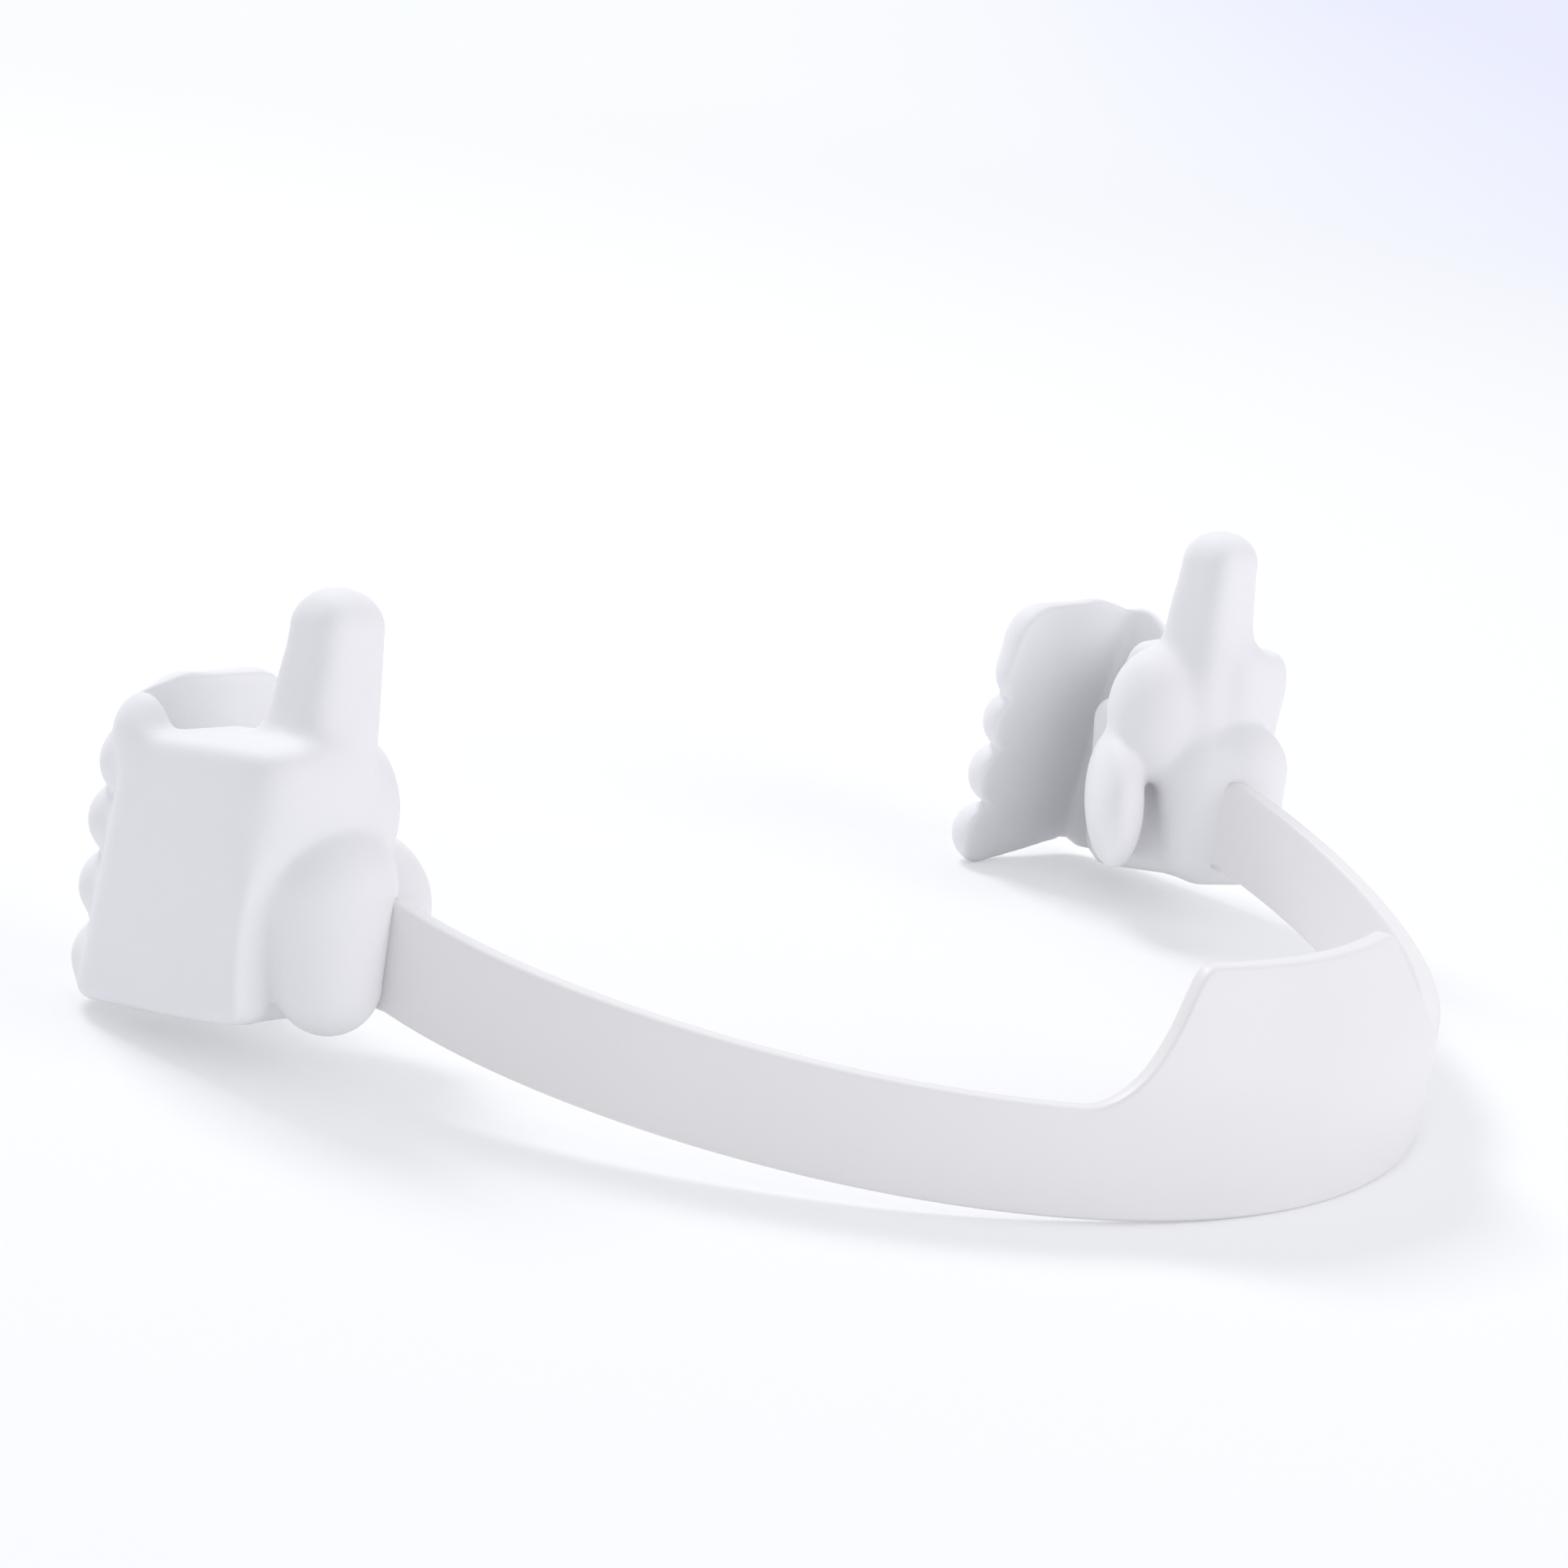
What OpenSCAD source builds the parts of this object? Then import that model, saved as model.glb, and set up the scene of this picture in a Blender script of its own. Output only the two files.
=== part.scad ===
// Desktop phone stand: two moulded fists with raised thumbs, each slotted to
// hold one short end of a phone, on the ends of a flat strap bent to a U.
// X runs along the phone, +Y is the screen side, +Z is up, and the origin is
// on the floor at the middle of the stand. It is drawn as it stands empty.

/* [Phone slot] */
// Length of the phone held, from the end wall of one slot to the other
phone_l = 158.2; // [146:0.2:170]
// Thickness of the phone held
phone_t = 7.3; // [6.6:0.1:8.6]
// Play of the phone in its slot
slot_play = 0.3; // [0.1:0.1:0.6]
// Angle between the slot and the upright of the fist
slot_lean = 18.4; // [12:0.2:24]
// Inside corner radius of the slot
slot_r = 1.2; // [0.5:0.1:2]

/* [Strap] */
// Height of the strap, from its lower edge to its upper edge
strap_w = 11.4; // [9.5:0.1:13]
// Thickness of the strap
strap_t = 2; // [1.6:0.1:2.6]
// Turn of the strap at its rear, in degrees over half its length
bend_rear = 105.8; // [98:0.2:112]
// Relief of the turn along its sides
bend_side = -68.3; // [-74:0.2:-62]
// Turn that comes back near the hands
bend_hand = 46.6; // [40:0.2:50]
// Radius of the edges of the strap
edge_r = 0.5; // [0.2:0.05:0.7]
// Depth to which the full strap goes into the wrist
strap_entry = 2.6; // [2.2:0.1:3.2]
// Depth to which the tongue at its end goes into the wrist
tongue_l = 8.5; // [6:0.5:9]
// Step in height from the strap down to its tongue, at each edge
tongue_step = 1; // [0.5:0.1:1.6]
// Clearance around the tongue in its pocket
tongue_play = 0.2; // [0.1:0.05:0.3]

/* [Tab] */
// Width of the tab between its upper corners
tab_w = 33.6; // [24:0.2:40]
// Height of the tab above the floor
tab_h = 26; // [20:0.2:30]
// Width of the hollow flank at each side of the tab
tab_flank = 14; // [10:0.5:18]
// Sharpness of the hollow flank
tab_hollow = 1.8; // [1.4:0.1:2.4]
// Forward lean of the tab
tab_lean = 20; // [8:1:24]
// Height over which the tab bends forward
tab_bend = 4; // [2:0.5:6]
// Height of the small nub at each corner
tab_nub = 0.4; // [0:0.1:0.8]

/* [Fist] */
// Forward tilt of the fist as the empty stand rests on it
hand_tilt = 10; // [8:0.2:12]
// Thickness of the outer wall past the end of the phone
wall_t = 3.6; // [2.8:0.1:4.6]
// Thickness of the front jaw between the fingers
jaw_t = 1.9; // [1.4:0.1:2.6]
// Height of the fist
fist_h = 29; // [27:0.2:31]
// Depth of the palm behind the slot, at the top of the fist
palm_d = 24.6; // [23:0.2:26]
// Depth of the outer wall behind the slot, at the top of the fist
side_d = 27.4; // [26:0.2:28.4]
// Lean of the rear of the palm, forward towards its foot
heel_lean = 24; // [18:0.5:28]
// Reach of the palm inward behind the phone, at its foot
palm_w = 12.6; // [11:0.1:13.4]
// Reach of the palm inward behind the phone, at its top
palm_top_w = 8.6; // [8:0.1:9.6]
// Reach of the front jaw inward from the end wall of the slot
jaw_w = 16.5; // [15:0.1:18]
// Radius of the edges of the fist
fist_r = 4; // [3:0.1:4.2]
// Radius of the rear edge of the outer wall
side_r = 2.5; // [2:0.1:2.8]

/* [Fingers] */
// Number of fingers
fingers = 4; // [4:1:4]
// Radius of a finger
finger_r = 4.1; // [3.8:0.1:4.4]
// Height between the little finger and the next
finger_pitch = 8.2; // [7.8:0.1:8.4]
// How much closer together the upper fingers lie
finger_crowd = 0.4; // [0.3:0.05:0.5]
// Height of the little finger's middle above the foot of the fist
finger_low = 3.7; // [3.4:0.1:4.2]
// Length of a finger from its knuckle to the middle of its tip
finger_l = 14.5; // [11:0.5:16]
// Distance of a knuckle's middle behind the front wall of the slot
finger_bury = 0.2; // [0:0.1:0.4]
// How far a finger's tip stands forward of its knuckle
finger_out = 0.8; // [0:0.1:1.4]
// How far the little finger's knuckle stands back of the others
little_back = 1.5; // [0:0.1:2]
// Distance of a knuckle's middle inside the end wall of the slot
knuckle_in = 1.9; // [1.5:0.1:2.4]
// Height of a knuckle above the finger's tip
knuckle_up = 0.3; // [0:0.1:0.6]
// Radius of the forefinger where it crosses the front
fore_r = 4.7; // [4.2:0.1:5.2]
// Height of the forefinger's middle above the foot of the fist
fore_h = 29; // [28:0.2:30]
// Length of the forefinger from its knuckle to the middle of its tip
fore_l = 13.5; // [11:0.5:15]

/* [Thumb] */
// Radius of the thumb's tip
thumb_tip = 4.5; // [4:0.1:4.8]
// Radius of the thumb
thumb_r = 4.8; // [4.4:0.1:5.2]
// Radius of the thumb's root
root_r = 6; // [5.4:0.1:6.4]
// Height of the thumb's tip above the foot of the fist
thumb_h = 43.8; // [42:0.2:48]
// Distance of the thumb inside the end wall of the slot
thumb_in = 8.5; // [7.8:0.1:9.4]
// Distance of the thumb behind the foot of the slot
thumb_back = 21.8; // [21:0.1:22.6]
// How far the thumb's tip bends back
thumb_bend = 1.5; // [0:0.1:2.4]
// Length of the thumb's bent tip
thumb_l = 8; // [6:0.5:9]
// Depth of the middle of the thumb's root below the top of the fist
thumb_sunk = 2.5; // [2:0.1:4]

/* [Palm and wrist] */
// Radius of the upper lobe of the palm, beside the thumb
upper_r = 5.8; // [5.2:0.1:6.2]
// Height of the upper lobe
upper_h = 16.4; // [14:0.2:18]
// Radius of the lower lobe of the palm, beside the wrist
lower_r = 3.4; // [3:0.1:3.8]
// Height of the lower lobe
lower_h = 16.6; // [14:0.2:18]
// Length of the lower lobe
lower_l = 18.2; // [15:0.2:19]
// Turn of the lower lobe from the phone's back, in degrees
lower_turn = 45; // [35:1:55]
// Radius of the wrist ball
ball_r = 6.4; // [6:0.1:6.8]
// Height of the wrist ball
ball_h = 20.7; // [19:0.1:21.4]
// Height of the wrist ball's foot above the foot of the fist
ball_low = -0.5; // [-0.8:0.1:0]
// Distance of the middle of the wrist ball inside the end wall of the slot
ball_in = 9.2; // [8.6:0.1:9.8]
// Distance of the middle of the wrist ball behind the foot of the slot
ball_back = 23.2; // [22.8:0.1:23.8]
// Distance from the foot of the slot back to where the strap goes in
socket_back = 28.2; // [27.6:0.1:28.8]
// Height of the strap's lower edge above the foot of the fist
socket_h = 1.8; // [1.4:0.1:2.4]
// Distance of the strap's outer face inside the end wall of the slot
socket_in = 10.2; // [9.6:0.1:10.8]

/* [Hidden] */
$fn = 24;
white = "#f4f4f6";
warm_white = "#eeedeb";

// Sum of a list
function total(list, i = 0) = i >= len(list) ? 0 : list[i] + total(list, i + 1);

// Direction of the strap at the share q of its half length, in degrees from X
function turn(q) = bend_rear * q + bend_side * pow(q, 3) + bend_hand * pow(q, 5);

// How far the strap has run sideways and forward at q, for a half length of 1
steps = 40;
function run(q) = q / steps * total([for (i = [0:steps - 1]) cos(turn((i + 0.5) * q / steps))]);
function reach(q) = q / steps * total([for (i = [0:steps - 1]) sin(turn((i + 0.5) * q / steps))]);

strap_x = phone_l / 2 - socket_in;
half_l = strap_x / run(1);
strap_d = half_l * reach(1);
end_turn = turn(1);

slot_t = phone_t + slot_play;
finger_y = slot_t - finger_bury;

// Height of the fist's foot over the floor, so that the tips of the tilted little fingers just touch it
low_y = slot_y(finger_low, finger_y + finger_out);
hand_lift = finger_r + low_y * sin(hand_tilt) - finger_low * cos(hand_tilt);

// Place of the strap's lower edge where it enters the hand, with the fist tilted
socket_y = -socket_back;
end_rise = hand_lift - socket_y * sin(hand_tilt) + socket_h * cos(hand_tilt);
socket_fwd = socket_y * cos(hand_tilt) + socket_h * sin(hand_tilt);

// Depth of the stand, from the rear of the strap to the front of the little fingers
front_y = low_y * cos(hand_tilt) + finger_low * sin(hand_tilt) + finger_r - socket_fwd;
depth = strap_d + front_y;
rear_y = -depth / 2;
hand_y = rear_y + strap_d - socket_fwd;

// A point of the slot's own frame, d forward of its back wall, at the height z of the fist
function slot_y(z, d) = d / cos(slot_lean) - z * tan(slot_lean);

// Lower edge of the strap: flat on the floor at the rear, rising to the hands
function edge_low(q) = end_rise * (0.83 * q * q + 0.17 * pow(q, 4));

// Upper edge of the strap with its tab, at the length s from the middle
function flank(a) = a <= 0 ? 1 : a >= 1 ? 0 : pow(1 - a, tab_hollow);
function nub(a) = tab_nub * exp(-pow((a - tab_w / 2 + 1) / 0.9, 2));
function edge_high(s) =
    let (a = abs(s), plain = edge_low(a / half_l) + strap_w)
    max(plain, plain + (tab_h - strap_w) * flank((a - tab_w / 2) / tab_flank) + nub(a));

// Forward lean of the tab at the height h above the plain strap
function lean(h) =
    h <= 0 ? 0 : tan(tab_lean) * (h < tab_bend ? h * h / (2 * tab_bend) : h - tab_bend / 2);

// Section of the strap between two heights: its outer face, its upper edge, its inner face, its lower edge
levels = 4;
corner_points = 4;
function section(low, high) =
    let (span = high - low - 2 * edge_r, c = edge_r * 0.3)
    concat(
        [for (i = [0:levels]) [0, low + edge_r + span * i / levels]],
        [[c, high - c], [edge_r, high], [strap_t - edge_r, high], [strap_t - c, high - c]],
        [for (i = [levels:-1:0]) [strap_t, low + edge_r + span * i / levels]],
        [[strap_t - c, low + c], [strap_t - edge_r, low], [edge_r, low], [c, low + c]]);

// One ring of the strap at the length s from the middle: beyond half_l it is the straight tongue
function ring(s, cut) =
    let (
        a = abs(s),
        side = s < 0 ? -1 : 1,
        q = min(1, a / half_l),
        past = max(0, a - half_l),
        t = turn(q),
        x = half_l * run(q) + past * cos(t),
        y = rear_y + half_l * reach(q) + past * sin(t))
    [for (p = section(edge_low(q) + cut, edge_high(min(a, half_l)) - cut))
        let (inward = p[0] + lean(p[1] - edge_low(q) - strap_w))
        [side * (x - inward * sin(t)), y + inward * cos(t), p[1]]];

// Lengths at which the strap has a ring, closer together along the tab
tab_end = tab_w / 2 + tab_flank;
half_stations = concat(
    [for (i = [0:4]) (tab_w / 2 - 2) * i / 4],
    [for (i = [1:6]) tab_w / 2 - 2 + 4 * i / 6],
    [for (i = [1:6]) tab_w / 2 + 2 + (tab_flank - 2) * i / 6],
    [for (i = [1:15]) tab_end + (half_l - tab_end) * i / 15]);
tongue_start = half_l + strap_entry + 0.01;
rings = concat(
    [ring(-half_l - tongue_l, tongue_step), ring(-tongue_start, tongue_step), ring(-half_l - strap_entry, 0)],
    [for (i = [len(half_stations) - 1:-1:1]) ring(-half_stations[i], 0)],
    [for (s = half_stations) ring(s, 0)],
    [ring(half_l + strap_entry, 0), ring(tongue_start, tongue_step), ring(half_l + tongue_l, tongue_step)]);

// Solid through a list of closed rings with the section's points, each end closed by bands across it
module loft(rings) {
    n = len(rings[0]);
    last = len(rings) - 1;
    function band(k) = [k, k + 1, n - corner_points - k - 2, n - corner_points - k - 1];
    bands = [for (k = [-corner_points / 2:n / 2 - corner_points]) [for (i = band(k)) (i + n) % n]];
    polyhedron(
        points = [for (r = rings) each r],
        faces = concat(
            [for (b = bands) [b[3], b[2], b[1], b[0]]],
            [for (j = [0:last - 1]) for (i = [0:n - 1])
                each [[j * n + i, j * n + (i + 1) % n, (j + 1) * n + (i + 1) % n],
                      [j * n + i, (j + 1) * n + (i + 1) % n, (j + 1) * n + i]]],
            [for (b = bands) [for (i = b) last * n + i]]),
        convexity = 8);
}

// Flat strap, one moulding: a strip bent to a U, with a raised tab at the rear and a tongue at each end
module strap() {
    color(warm_white) loft(rings);
}

// Ovoid of revolution about an upright axis
module ovoid(r, h) {
    half = 9;
    rotate_extrude()
        polygon([for (i = [0:half]) let (t = 180 * i / half - 90) [max(0, r * cos(t)), h / 2 * sin(t)]]);
}

// Smooth bar between two round ends, each a point and a radius
module round_bar(from, from_r, to, to_r) {
    hull() {
        translate(from) sphere(from_r);
        translate(to) sphere(to_r);
    }
}

// Rounded form through spheres at its corners
module rounded(corners, r) {
    hull() for (c = corners) translate(c) sphere(r);
}

// Fist around the slot, before the slot is cut: palm behind it, jaw before it and outer wall. +X is outward
foot = 0.4;
palm_start = 1;
palm_step = 2 / 3;
jaw_round = 3;
module fist_block() {
    r = fist_r;
    out = wall_t - r;
    jaw = slot_t + jaw_t - r;
    low = foot + r;
    top = fist_h + foot - r;
    palm_back = -palm_d + r;
    heel = palm_back + (top - low) * tan(heel_lean);
    mid = low + (top - low) * palm_step;
    slant = out - palm_start;
    rounded([
        [out, slant, low], [out, heel, low], [out, palm_back, top],
        [out, slot_y(top, jaw), top], [out - r / 2, slot_y(top, jaw), top],
        [-palm_top_w + r, slant - palm_top_w + r, low], [-palm_top_w + r, heel, low],
        [-palm_top_w + r, slant - palm_top_w + r, top], [-palm_top_w + r, palm_back, top]], r);
    rounded([
        [out, slant, low], [out, heel, low],
        for (z = [low, mid]) each [
            [-palm_w + r, slant - palm_w + r, z],
            [-palm_w + r, palm_back + (top - z) * tan(heel_lean), z]]], r);
    rounded([for (z = [low, top]) each [
        [out, slot_y(z, jaw - jaw_round), z], [out - jaw_round, slot_y(z, jaw), z],
        [-jaw_w + r, slot_y(z, jaw), z]]], r);
}

// Outer wall of the fist, whose thin rear edge stands behind the palm
side_mid = 18;
side_front = 2;
module side_wall() {
    r = side_r;
    out = wall_t - r;
    low = foot + r;
    top = fist_h + foot - r;
    back = -side_d + r;
    rounded([
        [out, back, top], [out, back, side_mid], [out, back + (side_mid - low) * tan(heel_lean), low],
        [out, slot_y(low, side_front), low], [out, slot_y(top, side_front), top]], r);
}

// Lobes of the palm: one outside the thumb, and two that stand out behind the phone
upper_outer = [-2.4, -21.4, 24];
upper_inner = [-13.8, -17.8, 22];
lower_mid = [-16.9, -14.3, 11.3];
module palm_lobes() {
    translate(upper_outer) ovoid(upper_r, upper_h);
    translate(upper_inner) ovoid(upper_r, upper_h);
    wide = lower_l / 2 - lower_r;
    high = lower_h / 2 - lower_r;
    translate(lower_mid)
        rotate([0, 0, lower_turn])
            rounded([for (a = [0:30:330]) [wide * cos(a), 0, high * sin(a)]], lower_r);
}

// Raised thumb behind the slot, with its tip bent back, and the stem under it
module thumb() {
    tip = [-thumb_in, -thumb_back - thumb_bend, thumb_h - thumb_tip];
    pad = tip + [0, thumb_bend / 2, -thumb_l / 2];
    waist = tip + [0, thumb_bend, -thumb_l];
    root = [-thumb_in, -thumb_back + 1, fist_h - thumb_sunk];
    stem = [-thumb_in, -thumb_back + 1, ball_low + ball_h];
    round_bar(tip, thumb_tip, pad, thumb_r);
    round_bar(pad, thumb_r, waist, thumb_r);
    round_bar(waist, thumb_r, root, root_r);
    round_bar(waist, thumb_r, stem, thumb_r);
}

// Fingers curled over the front of the phone, the forefinger higher and stouter
module finger_row() {
    for (i = [0:fingers - 1]) {
        z = finger_low + i * finger_pitch - i * i * finger_crowd;
        knuckle_z = z + knuckle_up;
        back = little_back * pow(1 - i / fingers, 2);
        round_bar(
            [-knuckle_in, slot_y(knuckle_z, finger_y) - back, knuckle_z], finger_r,
            [-knuckle_in - finger_l, slot_y(z, finger_y + finger_out), z], finger_r);
    }
    round_bar(
        [-knuckle_in - fore_r, slot_y(fore_h, finger_y), fore_h], fore_r,
        [-knuckle_in - fore_l, slot_y(fore_h, finger_y + finger_out), fore_h], fore_r);
}

// Wrist ball that the strap goes into
module wrist_ball() {
    low = ball_low + ball_r;
    high = ball_low + ball_h - ball_r;
    round_bar([-ball_in, -ball_back, high], ball_r, [-ball_in, -ball_back, low], ball_r);
}

// Slot that takes the end of the phone, open to the inside, the top and the bottom
slot_reach = 60;
slot_drop = 20;
slot_high = 70;
module phone_slot() {
    rotate([slot_lean, 0, 0])
        translate([-slot_reach, 0, -slot_drop])
            linear_extrude(slot_drop + slot_high)
                hull() {
                    square([1, slot_t]);
                    for (d = [slot_r, slot_t - slot_r])
                        translate([slot_reach - slot_r, d]) circle(slot_r);
                }
}

// Pocket in the wrist for the end of the strap and its tongue, in the frame of the whole stand
module strap_socket() {
    p = tongue_play;
    mouth = 2 * strap_t;
    translate([strap_x, rear_y + strap_d, end_rise])
        rotate([0, 0, end_turn]) {
            translate([-mouth, -p, -p])
                cube([mouth + strap_entry + p, strap_t + 2 * p, strap_w + 2 * p]);
            translate([-mouth, -p, tongue_step - p])
                cube([mouth + tongue_l + p, strap_t + 2 * p, strap_w - 2 * tongue_step + 2 * p]);
        }
}

// One fist, one moulding, drawn on the +X side of the stand
module fist() {
    difference() {
        translate([phone_l / 2, hand_y, hand_lift])
            rotate([-hand_tilt, 0, 0])
                difference() {
                    union() {
                        fist_block();
                        side_wall();
                        palm_lobes();
                        thumb();
                        finger_row();
                        wrist_ball();
                    }
                    phone_slot();
                }
        strap_socket();
    }
}

module right_hand() {
    color(white) fist();
}

module left_hand() {
    color(white) mirror([1, 0, 0]) fist();
}

strap();
left_hand();
right_hand();
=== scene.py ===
import bpy, math
import numpy as np
from mathutils import Matrix, Vector


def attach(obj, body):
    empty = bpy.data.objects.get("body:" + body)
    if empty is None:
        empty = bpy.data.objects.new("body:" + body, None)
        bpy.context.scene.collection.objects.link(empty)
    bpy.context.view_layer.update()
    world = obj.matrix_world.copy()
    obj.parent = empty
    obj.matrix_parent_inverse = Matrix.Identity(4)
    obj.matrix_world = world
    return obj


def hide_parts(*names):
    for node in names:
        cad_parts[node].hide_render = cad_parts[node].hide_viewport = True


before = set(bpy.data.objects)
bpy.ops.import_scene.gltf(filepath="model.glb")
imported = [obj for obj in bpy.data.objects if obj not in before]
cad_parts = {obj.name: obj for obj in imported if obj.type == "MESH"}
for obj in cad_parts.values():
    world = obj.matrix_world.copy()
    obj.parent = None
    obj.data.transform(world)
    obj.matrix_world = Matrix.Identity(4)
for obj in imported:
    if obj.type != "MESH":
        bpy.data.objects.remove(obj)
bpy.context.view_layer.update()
scene = bpy.context.scene
scene.view_settings.view_transform = "Standard"


# --- Table, daylight and camera ---------------------------------------------
# The stand is seen from behind and to one side, on a seamless white sheet of
# paper under soft daylight. The paper and the sky take the cast of the paper
# from colour alone, and the lamps only shape the white mouldings.

class Wire:
    """A socket of a material's nodes, with the arithmetic that joins Math nodes to it."""

    def __init__(self, tree, socket):
        self.tree, self.socket = tree, socket

    def node(self, kind, settings=(), out=0, **inputs):
        """Adds a node of a type with its settings first, then the values or wires of its sockets: s0 is the
        first socket, and any other word is a socket's name. Gives a wire from the output asked for."""
        n = self.tree.nodes.new(kind)
        for name, value in dict(settings).items():
            setattr(n, name, value)
        for name, value in inputs.items():
            key = int(name[1:]) if name[0] == "s" and name[1:].isdigit() else name.replace("_", " ")
            if isinstance(value, Wire):
                self.tree.links.new(value.socket, n.inputs[key])
            else:
                n.inputs[key].default_value = value
        return Wire(self.tree, n.outputs[out])

    def math(self, operation, *values, clamp=False):
        """A Math node of numbers and wires."""
        return self.node("ShaderNodeMath", dict(operation=operation, use_clamp=clamp),
                         **{f"s{i}": v for i, v in enumerate(values)})

    def __add__(self, o): return self.math("ADD", self, o)
    def __radd__(self, o): return self.math("ADD", o, self)
    def __mul__(self, o): return self.math("MULTIPLY", self, o)
    def clamped(self): return self.math("ADD", self, 0.0, clamp=True)

    def colours(self, low, high):
        """Colour between two colours or wires, by this wire as the share of the second."""
        return self.node("ShaderNodeMix", dict(data_type="RGBA"), out=2, s0=self, s6=low, s7=high)

    def noise(self, scale, detail, roughness=0.5):
        """Noise at this place, of so many grains a metre."""
        return self.node("ShaderNodeTexNoise", s0=self, Scale=scale, Detail=detail, Roughness=roughness)

    def along(self, way):
        """How far this place lies along a direction."""
        return self.node("ShaderNodeVectorMath", dict(operation="DOT_PRODUCT"), out=1, s0=self, s1=way)

    def eased(self, low, high):
        """This wire's share of the way from one value to another, with soft ends."""
        return self.node("ShaderNodeMapRange", dict(interpolation_type="SMOOTHSTEP"),
                         s0=self, s1=low, s2=high, s3=0.0, s4=1.0)


def new_material(name):
    """An empty material and a wire on its tree, with the surface output left to the caller."""
    m = bpy.data.materials.new(name)
    m.use_nodes = True
    m.node_tree.nodes.clear()
    return m, Wire(m.node_tree, None)


def set_surface(m, shader):
    """Joins a shader's wire to the material's output."""
    out = m.node_tree.nodes.new("ShaderNodeOutputMaterial")
    m.node_tree.links.new(shader.socket, out.inputs["Surface"])


paper_half = 4.0
paper_mesh = bpy.data.meshes.new("paper")
paper_mesh.from_pydata([(-paper_half, -paper_half, 0), (paper_half, -paper_half, 0),
                        (paper_half, paper_half, 0), (-paper_half, paper_half, 0)], [], [(0, 1, 2, 3)])
paper = bpy.data.objects.new("paper", paper_mesh)
scene.collection.objects.link(paper)

# the paper's glow takes over from the lit paper with distance, and turns bluer to the far right
m, w = new_material("paper")
place = w.node("ShaderNodeTexCoord", out=3)
fibre = place.noise(900.0, 3.0)
far = w.node("ShaderNodeVectorMath", dict(operation="LENGTH"), out=1, s0=place).eased(0.22, 1.3)
to_right, to_rear = place.along((0.672, -0.741, 0.0)), place.along((0.741, 0.672, 0.0))
far_right = to_right.eased(-0.15, 0.5) * to_rear.eased(0.2, 1.1)
seen = w.node("ShaderNodeLightPath", out=0)
lit = w.node("ShaderNodeBsdfDiffuse", Color=fibre.colours((0.95, 0.947, 0.955, 1), (0.965, 0.962, 0.97, 1)))
cast = (far * far_right).colours((0.965, 0.985, 1.0, 1), (0.83, 0.85, 1.0, 1))
glow = w.node("ShaderNodeEmission", Color=cast)
set_surface(m, w.node("ShaderNodeMixShader", s0=seen * (0.36 + far * 0.62), s1=lit, s2=glow))
paper_mesh.materials.append(m)

# the sky is white to the camera and to reflections, and dimmer and cooler to all else
sky = bpy.data.worlds.new("sky")
scene.world = sky
sky.use_nodes = True
sky.node_tree.nodes.clear()
w = Wire(sky.node_tree, None)
to_camera, to_gloss, through = [w.node("ShaderNodeLightPath", out=i) for i in (0, 3, 6)]
seen = w.math("MAXIMUM", w.math("MAXIMUM", to_camera, to_gloss), through)
ambient = w.node("ShaderNodeBackground", Color=(0.93, 0.94, 1.0, 1), Strength=0.68)
shown = w.node("ShaderNodeBackground", Color=(0.975, 0.985, 1.0, 1), Strength=1.0)
out = sky.node_tree.nodes.new("ShaderNodeOutputWorld")
mixed = w.node("ShaderNodeMixShader", s0=seen, s1=ambient, s2=shown)
sky.node_tree.links.new(mixed.socket, out.inputs["Surface"])


def lamp(name, place, aim, size, power, colour):
    """A square soft lamp of a size at a place, turned to a point."""
    data = bpy.data.lights.new(name, "AREA")
    data.shape, data.size, data.energy, data.color = "SQUARE", size, power, colour
    o = bpy.data.objects.new(name, data)
    o.location = place
    o.rotation_euler = (Vector(aim) - Vector(place)).to_track_quat("-Z", "Y").to_euler()
    scene.collection.objects.link(o)


lamp("window", (0.32, -0.95, 0.52), (0.0, 0.0, 0.02), 0.8, 3.4, (1.0, 0.99, 0.985))
lamp("ceiling", (0.04, 0.78, 0.98), (0.0, 0.0, 0.0), 0.42, 6.2, (0.985, 0.985, 1.0))

camera_place = (-0.32463, -0.26750, 0.13273)
camera_turn, camera_dip, camera_roll = math.radians(47.779), math.radians(14.171), math.radians(8.155)
focal_px, frame_px, sensor_mm = 4955.0, 1932.0, 36.0
ahead = Vector((math.sin(camera_turn) * math.cos(camera_dip),
                math.cos(camera_turn) * math.cos(camera_dip), -math.sin(camera_dip)))
level = Vector((math.cos(camera_turn), -math.sin(camera_turn), 0))
upright = level.cross(ahead)
right = math.cos(camera_roll) * level + math.sin(camera_roll) * upright
top = right.cross(ahead)
camera_data = bpy.data.cameras.new("camera")
camera_data.sensor_width = sensor_mm
camera_data.lens = sensor_mm * focal_px / frame_px
camera_data.clip_start, camera_data.clip_end = 0.01, 20.0
camera = bpy.data.objects.new("camera", camera_data)
turn = Matrix((right, top, -ahead)).transposed()
camera.matrix_world = Matrix.Translation(camera_place) @ turn.to_4x4()
scene.collection.objects.link(camera)
scene.camera = camera


# --- Strap -------------------------------------------------------------------
# One flat strip of springy satin plastic, moulded with a raised tab at its
# middle that leans forward, bent to a U by hand. It stands on its lower edge,
# and its ends rise and run into the wrists of the two hands.

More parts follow.
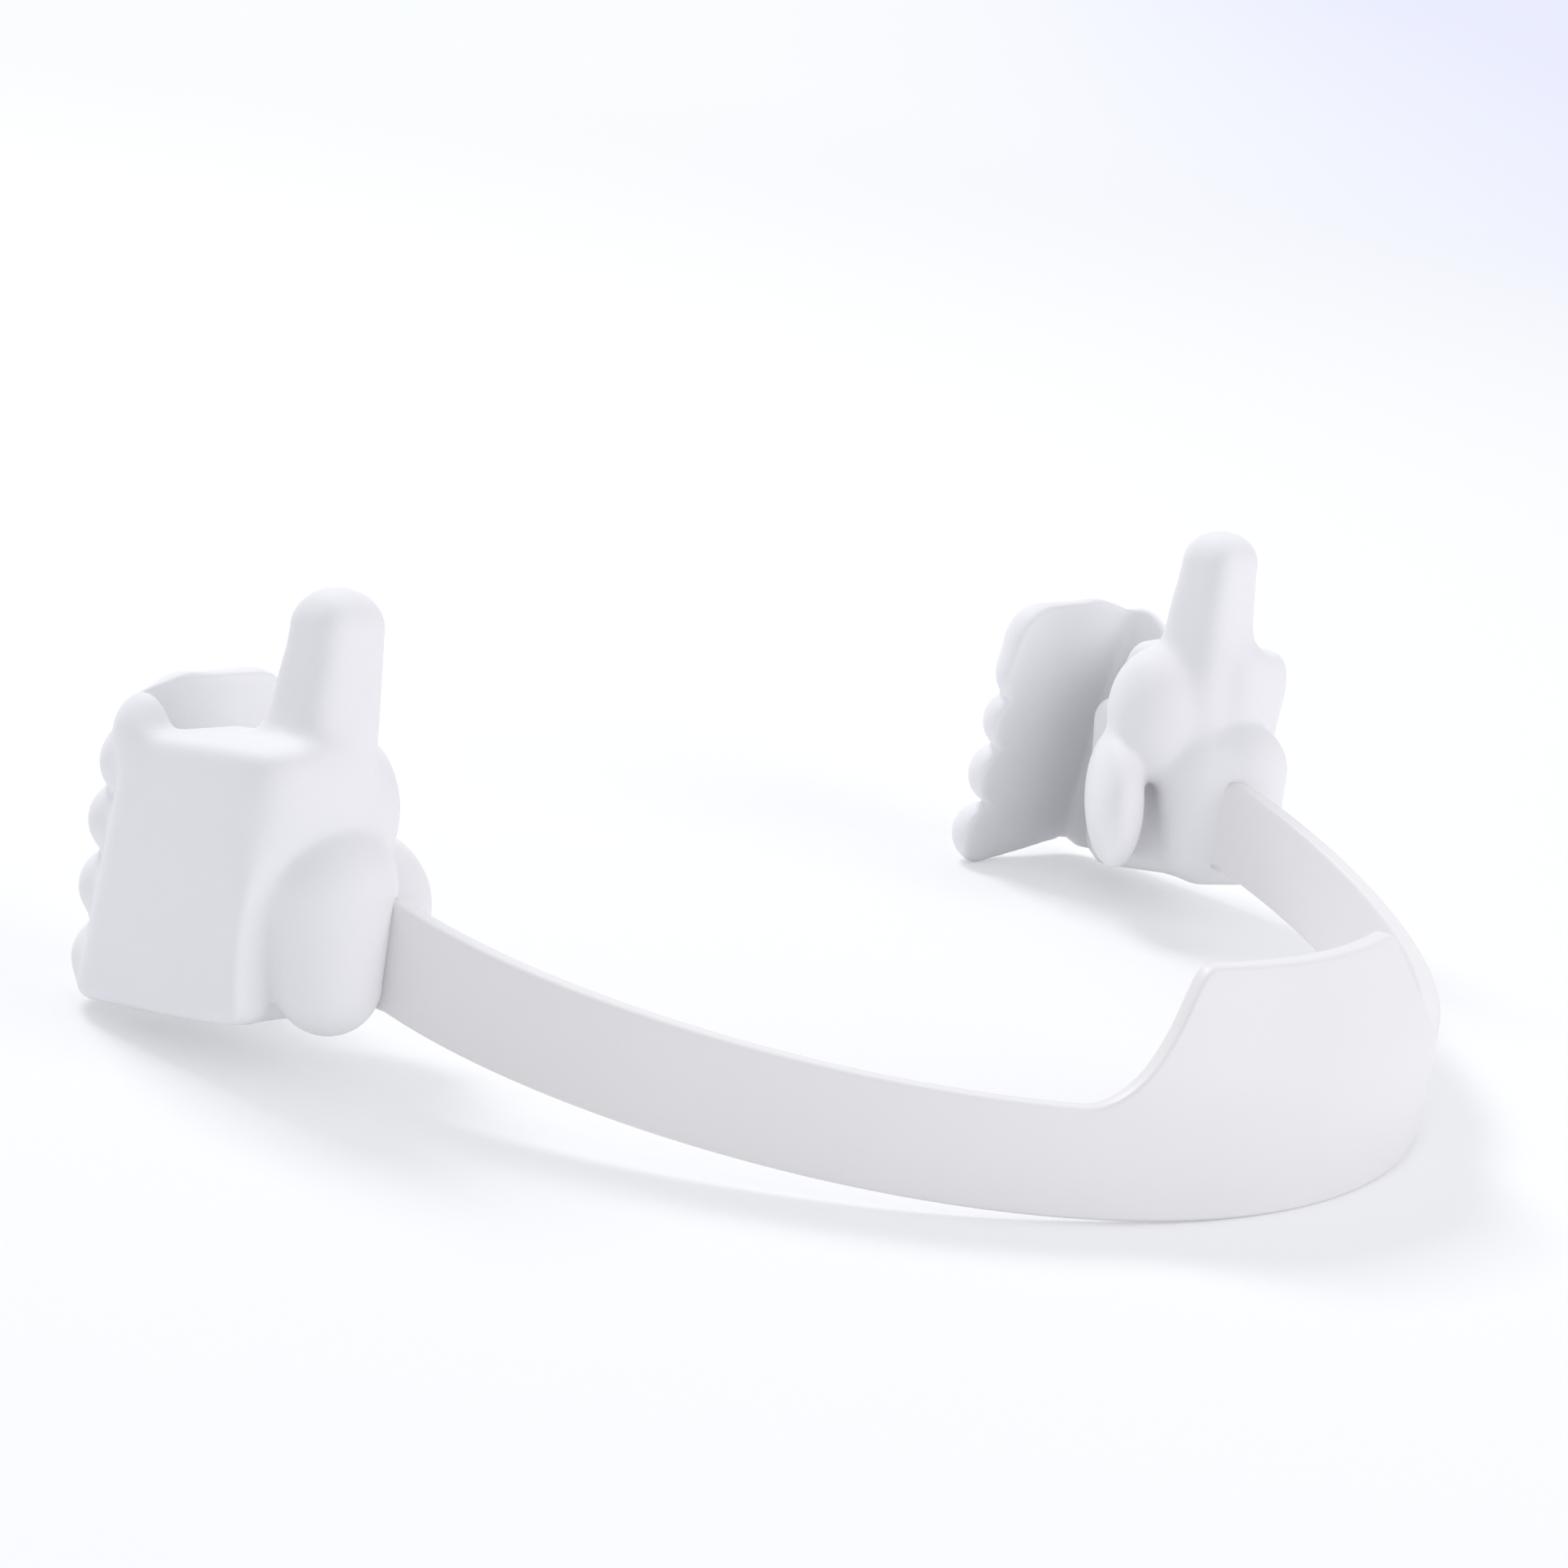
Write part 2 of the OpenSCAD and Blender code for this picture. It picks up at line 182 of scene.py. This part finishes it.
strap_w, strap_t, strap_edge = 11.4, 2.0, 0.5
bend_rear, bend_side, bend_hand = 105.8, -68.3, 46.6
rear_y, strap_x, end_rise = -52.671, 68.9, 8.413
tab_w, tab_rise, tab_top, tab_round = 33.6, 14.6, 13.6, 4.5
tab_flank, tab_hollow, tab_lean, tab_bend = 14.0, 1.8, 20.0, 4.0
strap_entry, tongue_l, tongue_step, shoulder = 2.6, 8.5, 1.0, 0.01
past_end, fine_n, soft_n = 14, 9001, 25
near_tab, tab_n, arm_n = 32.0, 317, 130

share = np.linspace(0, 1, 4001)
way = np.radians(bend_rear * share + bend_side * share**3 + bend_hand * share**5)
half_step = np.interp((share[1:] + share[:-1]) / 2, share, way)
run = np.concatenate([[0], np.cumsum(np.cos(half_step))]) / len(half_step)
reach = np.concatenate([[0], np.cumsum(np.sin(half_step))]) / len(half_step)
half_l = strap_x / run[-1]
end_turn = way[-1]


def plan(s):
    """Place and direction of the strap's outer face at the length s from its middle: the sum of small steps
    along a direction that turns with s as a fifth-power curve, and straight on past the hands."""
    a = np.abs(s)
    q = np.minimum(1, a / half_l)
    past = np.maximum(0, a - half_l)
    t = np.interp(q, share, way)
    x = half_l * np.interp(q, share, run) + past * np.cos(t)
    y = rear_y + half_l * np.interp(q, share, reach) + past * np.sin(t)
    return np.sign(s) * x, y, t, q


def lower_edge(q):
    """Height of the strap's lower edge: flat on the table at the rear, and rising towards the hands as a
    square and a fourth power of the share of the way."""
    return end_rise * (0.83 * q**2 + 0.17 * q**4)


def upper_edge(s):
    """Height of the upper edge: a constant width over the lower edge, and the tab, whose hollow flanks rise
    as a power of the distance from their feet until its level top cuts them off in round corners."""
    fine = np.linspace(-half_l - past_end, half_l + past_end, fine_n)
    a = np.abs(fine)
    plain = lower_edge(np.minimum(1, a / half_l)) + strap_w
    flank = tab_rise * np.maximum(1 - (a - tab_w / 2) / tab_flank, 0) ** tab_hollow
    top = np.full_like(a, tab_top)
    round_off = np.maximum(tab_round - np.abs(flank - top), 0) / tab_round
    high = plain + np.minimum(flank, top) - round_off**3 * tab_round / 6
    soft = np.exp(-np.linspace(-2.2, 2.2, soft_n) ** 2)
    high = np.convolve(np.pad(high, soft_n // 2, mode="edge"), soft / soft.sum(), mode="valid")
    return np.interp(s, fine, high)


def strap_section(low, high, edge):
    """Closed section between two heights as (depth, height) pairs: two flat faces that are divided along
    their height, joined by two rounded edges."""
    up = np.linspace(0, 1, 25)[None, :]
    low, high = low[:, None], high[:, None]
    wall = low + edge + (high - low - 2 * edge) * up
    arc = np.linspace(0, math.pi / 2, 6)[None, 1:-1]
    c, s = edge * (1 - np.cos(arc)), edge * (1 - np.sin(arc))
    one = np.ones_like(low)
    depth = np.concatenate([wall * 0, c * one, (strap_t - c[:, ::-1]) * one,
                            wall * 0 + strap_t, (strap_t - c) * one, c[:, ::-1] * one], 1)
    height = np.concatenate([wall, high - s, high - s[:, ::-1],
                             wall[:, ::-1], low + s, low + s[:, ::-1]], 1)
    return depth, height


def strap_rings(s, cut):
    """Rings of the strap at the lengths s: the section, leaned forward above the plain strap by a bend of
    even curvature and then a straight slope, and turned into the strap's direction."""
    x, y, t, q = plan(s)
    low = lower_edge(q)
    depth, height = strap_section(low + cut, upper_edge(s) - cut, strap_edge)
    over = height - low[:, None] - strap_w
    over = over * (np.abs(s) < tab_w / 2 + tab_flank)[:, None]
    lean = np.where(over < tab_bend, np.maximum(over, 0) ** 2 / (2 * tab_bend), over - tab_bend / 2)
    depth = depth + math.tan(math.radians(tab_lean)) * lean
    side = np.where(s < 0, -1.0, 1.0)[:, None]
    return np.stack([x[:, None] - side * depth * np.sin(t)[:, None],
                     y[:, None] + depth * np.cos(t)[:, None], height], -1)


def smooth_mesh(name, points, faces):
    """Smooth-shaded mesh from faces and from points in millimetres."""
    mesh = bpy.data.meshes.new(name)
    mesh.from_pydata((points * 0.001).tolist(), [], faces)
    mesh.polygons.foreach_set("use_smooth", np.ones(len(mesh.polygons), bool))
    mesh.update()
    return mesh


def tube_mesh(name, rings):
    """Closed mesh through rings of equal point counts: a quad between each two neighbours, and a fan to a
    middle point at each end."""
    n, k = rings.shape[:2]
    i, j = np.meshgrid(np.arange(n - 1), np.arange(k), indexing="ij")
    on = (j + 1) % k
    quads = np.stack([i * k + j, (i + 1) * k + j, (i + 1) * k + on, i * k + on], -1).reshape(-1, 4)
    points = np.concatenate([rings.reshape(-1, 3), rings[0].mean(0)[None], rings[-1].mean(0)[None]])
    j = np.arange(k)
    first = np.stack([j, (j + 1) % k, np.full(k, n * k)], -1)
    last = np.stack([(n - 1) * k + (j + 1) % k, (n - 1) * k + j, np.full(k, n * k + 1)], -1)
    return smooth_mesh(name, points, quads.tolist() + first.tolist() + last.tolist())


entry = half_l + strap_entry
stations = np.concatenate([np.linspace(-half_l, -near_tab, arm_n),
                           np.linspace(0.4 - near_tab, near_tab - 0.4, tab_n),
                           np.linspace(near_tab, half_l, arm_n)])
strap_mesh = tube_mesh("strap", np.concatenate([
    strap_rings(np.array([-half_l - tongue_l, -entry - shoulder]), tongue_step),
    strap_rings(np.concatenate([[-entry], stations, [entry]]), 0.0),
    strap_rings(np.array([entry + shoulder, half_l + tongue_l]), tongue_step)]))
strap = bpy.data.objects.new("strap_strip", strap_mesh)
scene.collection.objects.link(strap)

m, w = new_material("satin_plastic")
place = w.node("ShaderNodeTexCoord", out=3)
cloud, sink = place.noise(55.0, 2.0), place.noise(120.0, 1.0)
grain = place.noise(2600.0, 4.0, 0.6)
scuff = w.node("ShaderNodeMapping", s0=place, Scale=(60.0, 60.0, 1500.0)).noise(1.0, 3.0)
tone = cloud.colours((0.835, 0.828, 0.825, 1), (0.865, 0.858, 0.855, 1))
rough = (0.36 + cloud * 0.08 + scuff * 0.08).clamped()
relief = grain * 0.4 + sink * 3.0 + scuff * 0.3
bump = w.node("ShaderNodeBump", Height=relief, Strength=0.5, Distance=0.00004)
set_surface(m, w.node("ShaderNodeBsdfPrincipled", Base_Color=tone, Roughness=rough, Normal=bump, IOR=1.47))
strap_mesh.materials.append(m)
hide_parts("strap")
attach(strap, "root")


# --- Hands --------------------------------------------------------------------
# Each hand is one solid moulding of soft matt rubber: a fist with its thumb
# raised behind a slot for the phone's end, its fingers curled over the front,
# and a ball at the wrist that the strap is pushed into. The left mirrors the right.

phone_l, hand_y, hand_lift, hand_tilt = 158.2, 40.6302, 1.74311, math.radians(10)
slot_t, slot_lean, slot_r = 7.6, math.radians(18.4), 1.2
wall_t, wall_in, wall_rear = 3.6, 1.4, 27.6
fist_top, fist_foot, fist_out, fist_r = 28.9, 0.6, 1.6, 2.5
palm_top, palm_in, palm_rear, heel_y = 22.0, -12.6, 22.1, 22.8
stem_in, jaw_in, jaw_r = -8.6, -16.5, 4.0
finger_r, finger_out, finger_in = 4.1, -1.9, -16.4
fingers_at = ((4.3, 1.7), (11.8, 0.6), (18.8, 0.0), (24.9, 0.0))       # height, and the root's set-back
knuckle_r, fore_r, fore_z, root_d = 4.0, 4.7, 29.0, 7.4
upper_lobe, upper_radii = (-13.8, -17.8, 20.8), (5.8, 5.8, 8.2)
lower_lobe, lower_radii = (-16.9, -14.3, 10.3), (9.0, 3.6, 8.6)
thumb_x, thumb_y, thumb_r, thumb_foot, thumb_top = -8.55, -21.8, 4.18, 19.5, 39.7
wrist_x, wrist_y, wrist_r, wrist_foot, wrist_top = -7.7, -23.7, 6.3, 4.9, 14.0
pocket_play, lip_t, diagonal = 0.2, 0.8, 0.7071


def near(p, a, ra, b, rb):
    """Distance to a bar whose radius runs evenly from ra at the point a to rb at the point b."""
    a, b = np.array(a, float), np.array(b, float)
    ab = b - a
    t = np.clip(((p - a) @ ab) / (ab @ ab), 0, 1)
    return np.linalg.norm(p - a - t[..., None] * ab, axis=-1) - (ra + (rb - ra) * t)


def egg(p, middle, radii):
    """About the distance to an ellipsoid: the scaled length less one, over the slope of that length."""
    d = (p - np.array(middle, float)) / np.array(radii, float)
    k = np.linalg.norm(d, axis=-1)
    return k * (k - 1) / np.maximum(np.linalg.norm(d / np.array(radii, float), axis=-1), 1e-6)


def blend(a, b, k):
    """The lesser of two distances, with a fillet of about k where they cross."""
    h = np.maximum(k - np.abs(a - b), 0) / k
    return np.minimum(a, b) - h**3 * k / 6


def carve(a, b, k):
    """The first form less the second, with its new edge rounded by about k."""
    return -blend(-a, b, k)


def fist_shape(p):
    """Signed distance from a hand, in its own upright frame: x outward from the slot's end wall, y forward
    from the foot of the slot, z up. Panels, bars and ovoids are blended, then the slot is cut."""
    x, y, z = p[..., 0], p[..., 1], p[..., 2]
    lean_c, lean_s = math.cos(slot_lean), math.sin(slot_lean)
    d = y * lean_c + z * lean_s                      # forward of the slot's back wall

    def block(r, inner, deep, aslant=-99.0, top=fist_top):
        """Rounded block between the outer wall, an inner face, the top, the foot and the planes given."""
        side = np.maximum(np.maximum(x - (fist_out - r), (inner + r) - x), aslant + r)
        q = np.stack([side, deep, np.maximum(z - (top - r), fist_foot + r - z)], -1)
        return np.linalg.norm(np.maximum(q, 0), axis=-1) + np.minimum(q.max(-1), 0) - r

    # palm behind the slot, and the jaw in front of it
    heel = -(y + heel_y) * 0.995 + (20.0 - z) * 0.09
    aslant = -(0.695 * x - 0.703 * y) - 3.6
    depth = np.maximum(np.maximum(d - 7.0, heel + fist_r), -palm_rear - y)
    rear = block(fist_r, stem_in, depth, aslant)
    palm = block(fist_r, palm_in, depth, aslant, palm_top)
    jaw = block(jaw_r, jaw_in, np.maximum(d - 5.5, 4.5 - d))
    # outer wall: a broad panel that turns inward over its curved rear edge, tightly below and wide above
    sweep = np.clip((z - 12.0) / 10.0, 0, 1)
    sweep = 2.2 + 6.8 * sweep * sweep * (3 - 2 * sweep)
    edge = carve(-(y + wall_rear), (y + 22.0 + 0.0175 * np.maximum(z - 4.0, 0) ** 2) * 0.95, 3.0)
    panel = carve(x - wall_t, -edge, sweep)
    inward = wall_in + x + np.clip(z - 12.0, 0, 9) * 0.8
    for face, r in ((inward, 2.0 + 0.6 * np.clip(z - 14.0, 0, 5)), (9.5 - d, 2.0), (fist_top - z, 5.0),
                    (z - 0.4 - 0.003 * np.maximum(-y - 8, 0) ** 2, 3.5)):
        panel = carve(panel, face, r)
    body = blend(np.minimum(np.minimum(rear, palm), jaw), panel, 1.2)
    body = carve(body, -((x + d - 2.1) / math.sqrt(2) - 4.0), 3.0)
    # fingers over the front, the forefinger a little stouter and with its knuckle at the wall's top corner
    across = lambda z, d: d / lean_c - z * lean_s / lean_c
    fingers = None
    for zk, back in fingers_at:
        tip_z = 3.7 if zk < 5 else zk - 0.3
        bar = near(p, (finger_out, across(zk, root_d) - back, zk), finger_r,
                   (finger_in, across(tip_z, 8.19), tip_z), finger_r)
        fingers = bar if fingers is None else blend(fingers, bar, 1.2)
    shape = blend(body, fingers, 1.5)
    bend = (-6.6, across(fore_z, root_d), fore_z)
    fore = blend(near(p, (-1.0, across(28.7, 5.1), 28.7), knuckle_r, bend, fore_r),
                 near(p, bend, fore_r, (-15.4, across(fore_z, 8.2), fore_z), fore_r), 1.0)
    shape = blend(shape, fore, 4.0)
    # lobes of the palm, which stand out behind the phone, the lower one turned an eighth of a circle
    upper_in = egg(p, upper_lobe, upper_radii)
    ox, oy, oz = x - lower_lobe[0], y - lower_lobe[1], z - lower_lobe[2]
    lower_in = egg(np.stack([(ox + oy) * diagonal, (ox - oy) * diagonal, oz], -1), (0, 0, 0), lower_radii)
    shape = blend(shape, blend(upper_in, lower_in, 2.2), 2.0)
    # thumb, a little square in section, bending back to its tip, with its stem running down to the wrist
    h = np.clip(z, thumb_foot, thumb_top)
    root = np.clip((38 - h) / 7, 0, 1)
    side = np.abs(x - thumb_x - 0.25 * root)
    back = np.abs(y - thumb_y - 0.25 * root + 0.12 * (h - 30) + 0.0045 * (h - 30) ** 2)
    across_thumb = (side ** 3.5 + back ** 3.5) ** (1 / 3.5)
    thumb = np.hypot(across_thumb, z - h) - thumb_r + 0.0054 * np.maximum(h - 34, 0) ** 2 - 0.5 * root
    shape = blend(shape, thumb, 4.5)
    # wrist: an upright oval block, broader across its outer corner and narrower at its foot
    t = np.clip((wrist_top - z) / (wrist_top - wrist_foot), 0, 1)
    u = ((x - wrist_x) - (y - wrist_y)) * diagonal
    v = ((x - wrist_x) + (y - wrist_y)) * diagonal - 0.35 * t
    over = np.maximum(np.maximum(z - wrist_top, wrist_foot - z), 0)
    oval = np.linalg.norm(np.stack([np.maximum(np.abs(u) - 1.9, 0), v, over], -1), axis=-1)
    shape = blend(shape, oval - wrist_r + 1.0 * t, 2.0)
    # slot for the phone
    sx, sd = x + slot_r, np.abs(d - slot_t / 2) - (slot_t / 2 - slot_r)
    slot = np.hypot(np.maximum(sx, 0), np.maximum(sd, 0)) + np.minimum(np.maximum(sx, sd), 0) - slot_r
    shape = carve(shape, wall_t - 0.02 - x, 1.0)
    return carve(shape, slot, 1.2)


def to_stand(p):
    """A hand's own place carried into the stand: tilted forward, lifted and moved out to the phone's end."""
    c, s = math.cos(hand_tilt), math.sin(hand_tilt)
    return np.stack([p[..., 0] + phone_l / 2, hand_y + p[..., 1] * c + p[..., 2] * s,
                     hand_lift - p[..., 1] * s + p[..., 2] * c], -1)


def hand_shape(p):
    """The fist with the pocket in its wrist for the strap's end, whose lip closes on the strap all round."""
    q = to_stand(p)
    c, s = math.cos(end_turn), math.sin(end_turn)
    dx, dy = q[..., 0] - strap_x, q[..., 1] - (rear_y + half_l * reach[-1])
    along, inward, up = dx * c + dy * s, -dx * s + dy * c, q[..., 2] - end_rise
    shape = fist_shape(p)
    thick = np.abs(inward - strap_t / 2) - strap_t / 2
    wide = np.abs(up - strap_w / 2) - strap_w / 2
    mouth = np.maximum(along - strap_entry, np.maximum(thick, wide))
    deep = np.maximum(along - tongue_l, np.maximum(thick, wide + tongue_step))
    pocket = np.maximum(np.minimum(mouth, deep) - pocket_play, -4 - along)
    return carve(shape, np.maximum(pocket, shape + lip_t), 0.3)


def skin(field, low, step):
    """Quads over the surface where a field on a grid is zero: each cell that it crosses gets one point, the
    mean of its crossings of the cell's edges, and each grid edge that it crosses joins four cells."""
    size = np.array(field.shape) - 1
    total, count = np.zeros((*size, 3)), np.zeros(size)
    corner = lambda a, o: a[o[0]:o[0] + size[0], o[1]:o[1] + size[1], o[2]:o[2] + size[2]]
    for axis in range(3):
        one = np.eye(3, dtype=int)[axis]
        for u in (0, 1):
            for v in (0, 1):
                o = np.insert([u, v], axis, 0)
                a, b = corner(field, o), corner(field, o + one)
                cross = (a < 0) != (b < 0)
                t = np.where(cross, a / np.where(cross, a - b, 1), 0)
                total += cross[..., None] * (o + t[..., None] * one)
                count += cross
    used = count > 0
    index = np.full(size, -1)
    index[used] = np.arange(used.sum())
    cells = np.argwhere(used)
    points = low + step * (cells + total[used] / count[used][:, None])
    quads = []
    for axis in range(3):
        a, b = np.take(field, range(size[axis]), axis), np.take(field, range(1, size[axis] + 1), axis)
        where = np.argwhere((a < 0) != (b < 0))
        u, v = [k for k in range(3) if k != axis]
        inside = (where[:, u] > 0) & (where[:, v] > 0) & (where[:, u] < size[u]) & (where[:, v] < size[v])
        where = where[inside]
        ring = []
        for du, dv in ((1, 1), (0, 1), (0, 0), (1, 0)):
            c = where.copy()
            c[:, u] -= du
            c[:, v] -= dv
            ring.append(index[tuple(c.T)])
        ring = np.stack(ring, -1)
        flip = (a[tuple(where.T)] < 0) == (axis == 1)
        ring[flip] = ring[flip][:, ::-1]
        quads.append(ring)
    return points, np.concatenate(quads)


step, nudge, rounds = 0.4, 0.01, 4
low, size = np.array([-25.1, -34.6, -2.1]), np.array([31.0, 49.0, 49.0])
grid = [low[i] + step * np.arange(int(size[i] / step) + 1) for i in range(3)]
field = hand_shape(np.stack(np.meshgrid(*grid, indexing="ij"), -1))
points, quads = skin(field, low, step)

# each round evens the points out along the surface and puts them back on it
for _ in range(rounds):
    near_sum, near_count = np.zeros_like(points), np.zeros(len(points))
    for i in range(4):
        for j in ((i + 1) % 4, (i + 3) % 4):
            np.add.at(near_sum, quads[:, i], points[quads[:, j]])
            np.add.at(near_count, quads[:, i], 1)
    slope = np.stack([(hand_shape(points + nudge * e) - hand_shape(points - nudge * e)) / (2 * nudge)
                      for e in np.eye(3)], -1)
    slope /= np.maximum(np.linalg.norm(slope, axis=-1, keepdims=True), 1e-6) ** 2
    normal = slope / np.maximum(np.linalg.norm(slope, axis=-1, keepdims=True), 1e-6)
    move = near_sum / near_count[:, None] - points
    move -= (move * normal).sum(-1, keepdims=True) * normal
    points = points + 0.5 * move
    points = points - np.clip(hand_shape(points), -0.3, 0.3)[:, None] * slope
right_points = to_stand(points)

m, w = new_material("matt_rubber")
place = w.node("ShaderNodeTexCoord", out=3)
cloud, dimple = place.noise(70.0, 3.0), place.noise(260.0, 2.0)
grain = place.noise(3400.0, 3.0, 0.55)
tone = cloud.colours((0.855, 0.850, 0.865, 1), (0.885, 0.882, 0.90, 1))
rough = (0.56 + cloud * 0.08 + grain * 0.08).clamped()
bump = w.node("ShaderNodeBump", Height=grain * 0.7 + dimple * 2.2, Strength=0.5, Distance=0.00005)
set_surface(m, w.node("ShaderNodeBsdfPrincipled", Base_Color=tone, Roughness=rough, Normal=bump, IOR=1.42))

for side, node in ((1, "right_hand"), (-1, "left_hand")):
    mesh = smooth_mesh(node, right_points * [side, 1, 1], quads[:, ::side].tolist())
    mesh.materials.append(m)
    hand = bpy.data.objects.new(node + "_moulding", mesh)
    scene.collection.objects.link(hand)
    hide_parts(node)
    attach(hand, "root")


# --- Finish ---------------------------------------------------------------------
# The view layer is brought up to date.

bpy.context.view_layer.update()
